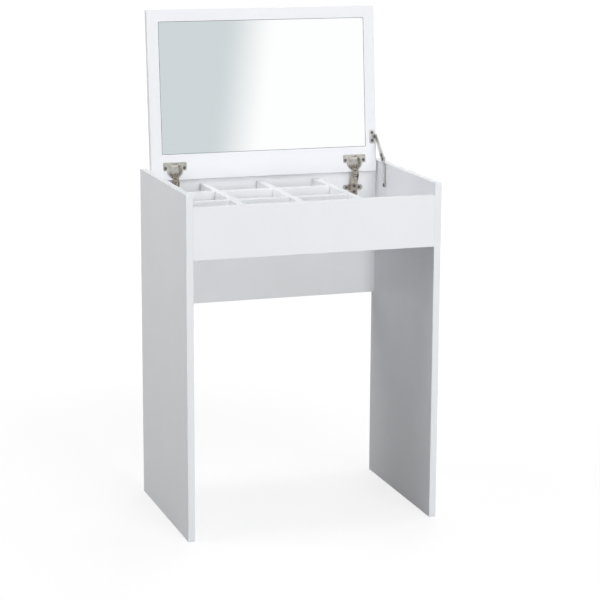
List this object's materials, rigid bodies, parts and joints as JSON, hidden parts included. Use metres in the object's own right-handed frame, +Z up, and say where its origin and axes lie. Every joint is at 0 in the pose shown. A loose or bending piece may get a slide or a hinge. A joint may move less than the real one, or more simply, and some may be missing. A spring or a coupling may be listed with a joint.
{
  "type": "vanity table",
  "caption": "Dressing table with panel sides and a divided tray; its lid carries a recessed mirror and folds down over the tray on concealed link hinges with a folding stay.",
  "frame": {"origin": "on the floor, in the middle of the bounding box with the lid open", "axes": "+Z up, -Y the side a person sits at, +X to the sitter's right"},
  "size_m": [0.6, 0.4164, 1.1594],
  "materials": {
    "white_board": "white melamine-faced particleboard, satin",
    "mirror": "silvered float glass",
    "nickel": "nickel-plated steel pressing",
    "stay_steel": "zinc-plated steel strip",
    "screw_steel": "dark plated steel",
    "zinc": "die-cast and plated, dull",
    "beech": "bare beech"
  },
  "bodies": {
    "carcass": {"back_panel": "white_board", "cam_bolts": "zinc", "cam_discs": "zinc", "cross_divider_front": "white_board", "cross_divider_rear": "white_board", "dowels": "beech", "front_panel": "white_board", "hinge_arm_left": "nickel", "hinge_arm_pins": "nickel", "hinge_arm_right": "nickel", "hinge_arm_screws": "screw_steel", "hinge_plate_left": "nickel", "hinge_plate_right": "nickel", "hinge_plate_screws": "screw_steel", "partition_left": "white_board", "partition_middle": "white_board", "partition_right": "white_board", "side_panel_left": "white_board", "side_panel_right": "white_board", "stay_pivot_screw": "screw_steel", "stay_spacer": "stay_steel", "tray_floor": "white_board"},
    "inner_links": {"hinge_inner_link_left": "nickel", "hinge_inner_link_right": "nickel"},
    "outer_links": {"hinge_link_rivets": "nickel", "hinge_outer_link_left": "nickel", "hinge_outer_link_right": "nickel"},
    "lid": {"hinge_cup_left": "nickel", "hinge_cup_pins": "nickel", "hinge_cup_right": "nickel", "hinge_cup_screws": "screw_steel", "lid_board": "white_board", "mirror_glass": "mirror", "stay_bracket": "stay_steel", "stay_bracket_pin": "screw_steel", "stay_bracket_screws": "screw_steel"},
    "stay_upper": {"stay_elbow_rivets": "screw_steel", "stay_upper_arm": "stay_steel"},
    "stay_lower": {"stay_lower_arm": "stay_steel"}
  },
  "joints": [
    {"name": "inner_link_swing", "type": "hinge", "parent": "carcass", "child": "inner_links", "pos_m": [0, 0.15923, 0.75283], "axis": [1, 0, 0], "range_deg": [-47.67, 0]},
    {"name": "lid_fold", "type": "hinge", "parent": "inner_links", "child": "lid", "pos_m": [0, 0.16123, 0.77473], "axis": [1, 0, 0], "range_deg": [0, 142.66]},
    {"name": "outer_link_swing", "type": "hinge", "parent": "carcass", "child": "outer_links", "pos_m": [0, 0.15034, 0.75918], "axis": [1, 0, 0], "range_deg": [-43.1, 0]},
    {"name": "stay_lower_swing", "type": "hinge", "parent": "carcass", "child": "stay_lower", "pos_m": [0, 0.10577, 0.7375], "axis": [1, 0, 0], "range_deg": [0, 106.11]},
    {"name": "stay_upper_swing", "type": "hinge", "parent": "lid", "child": "stay_upper", "pos_m": [0, 0.15803, 0.84829], "axis": [1, 0, 0], "range_deg": [-114.73, 0]}
  ],
  "couplings": [
    {"joint": "inner_link_swing", "follows": "lid_fold", "ratio": -0.33408},
    {"joint": "outer_link_swing", "follows": "lid_fold", "ratio": -0.30209},
    {"joint": "stay_lower_swing", "follows": "lid_fold", "ratio": 0.74376},
    {"joint": "stay_upper_swing", "follows": "lid_fold", "ratio": -0.80414}
  ]
}
